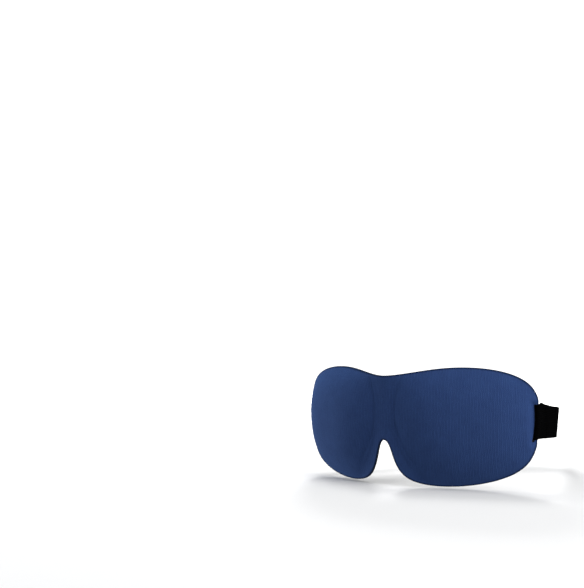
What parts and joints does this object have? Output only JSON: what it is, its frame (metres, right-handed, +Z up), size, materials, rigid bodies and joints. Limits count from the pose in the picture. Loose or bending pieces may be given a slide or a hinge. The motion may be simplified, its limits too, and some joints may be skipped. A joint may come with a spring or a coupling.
{
  "type": "sleep eye mask",
  "caption": "Contoured sleep mask with two domed eye cups, a nose notch and an adjustable elastic head strap with a slider.",
  "frame": {"origin": "front of the nose bridge, midway between the two eye domes; the wearer's face is behind it", "axes": "+X towards the lobe at the strap's sewn end, the mask's front faces -Y and the strap runs back along +Y, +Z up towards the brow"},
  "size_m": [0.217, 0.2211, 0.0859],
  "materials": {
    "front_cover": "fine knit, matt with a soft sheen",
    "foam_core": "moulded soft foam",
    "lining": "fine black knit",
    "elastic": "ribbed woven elastic",
    "slider": "moulded black plastic",
    "thread": "sewing thread"
  },
  "bodies": {
    "mask": {"front_cover": "front_cover", "foam_core": "foam_core", "lining": "lining", "strap_loop_right": "elastic", "strap_loop_left": "elastic", "strap_side_right": "elastic", "strap_side_left": "elastic", "strap_adjuster": "elastic", "bar_tack_right": "thread"},
    "slider": {"slider": "slider", "bar_tack_slider": "thread"},
    "strap_back": {"strap_back": "elastic"}
  },
  "joints": [
    {"name": "slider_slide", "type": "slide", "parent": "mask", "child": "slider", "axis": [0.438, 0.8956, -0.0775], "range_m": [0, 0.05], "deforming": ["strap_adjuster"]},
    {"name": "strap_stretch", "type": "slide", "parent": "mask", "child": "strap_back", "axis": [0, 1, 0], "range_m": [0, 0.07], "stiffness_N_per_m": 40, "deforming": ["strap_side_right", "strap_side_left"]}
  ]
}
